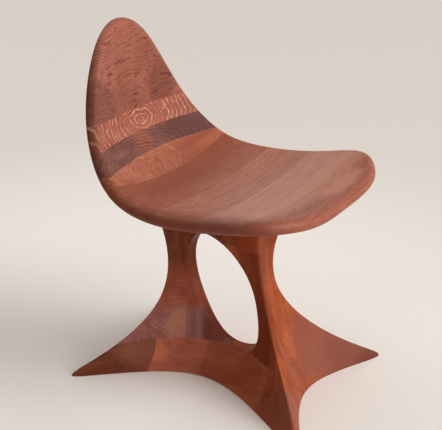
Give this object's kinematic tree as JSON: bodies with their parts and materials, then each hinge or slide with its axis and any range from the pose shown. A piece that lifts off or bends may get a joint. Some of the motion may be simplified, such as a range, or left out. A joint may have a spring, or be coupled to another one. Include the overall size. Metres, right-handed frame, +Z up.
{
  "type": "carved armchair",
  "caption": "Sculpted hardwood chair without arms: one flowing carved seat and back on a star foot with slim posts around a leaning oval opening.",
  "frame": {"origin": "on the floor, at the centre of the chair's plan", "axes": "+Z up, the sitter faces -Y, +X to the sitter's left; X = 0 is the plane of symmetry"},
  "size_m": [0.553, 0.5745, 0.7839],
  "materials": {
    "seat_front_plank": "satin oiled, reddish",
    "seat_middle_front_plank": "satin oiled",
    "seat_middle_rear_plank": "satin oiled",
    "seat_rear_plank": "satin oiled",
    "back_board_lower": "satin oiled, orange with fine pale rings",
    "back_board_middle": "satin oiled, dark purple-brown",
    "back_board_upper": "satin oiled, pale orange with wide pale rings",
    "back_crest_board": "satin oiled, dark swirled figure",
    "saddle": "satin oiled",
    "front_post": "satin oiled, orange-red with pale flecks",
    "rear_post": "satin oiled",
    "front_post_root": "satin oiled",
    "rear_post_root": "satin oiled, fine stripes",
    "rear_post_cheek": "satin oiled",
    "front_foot_board": "satin oiled",
    "rear_foot_board": "satin oiled, dark",
    "front_web_board": "satin oiled, orange-brown flame figure",
    "rear_web_board": "satin oiled",
    "back_dowels": "raw",
    "seat_tongues": "raw",
    "seat_tenons": "raw",
    "base_dowels": "raw"
  },
  "bodies": {
    "root": {"seat_front_plank": "seat_front_plank", "seat_middle_front_plank": "seat_middle_front_plank", "seat_middle_rear_plank": "seat_middle_rear_plank", "seat_rear_plank": "seat_rear_plank", "back_board_lower": "back_board_lower", "back_board_middle": "back_board_middle", "back_board_upper": "back_board_upper", "back_crest_board": "back_crest_board", "saddle": "saddle", "front_post": "front_post", "rear_post": "rear_post", "front_post_root": "front_post_root", "rear_post_root": "rear_post_root", "rear_post_cheek": "rear_post_cheek", "front_foot_board": "front_foot_board", "rear_foot_board": "rear_foot_board", "front_web_board": "front_web_board", "rear_web_board": "rear_web_board", "back_dowels": "back_dowels", "seat_tongues": "seat_tongues", "seat_tenons": "seat_tenons", "base_dowels": "base_dowels"}
  },
  "joints": []
}
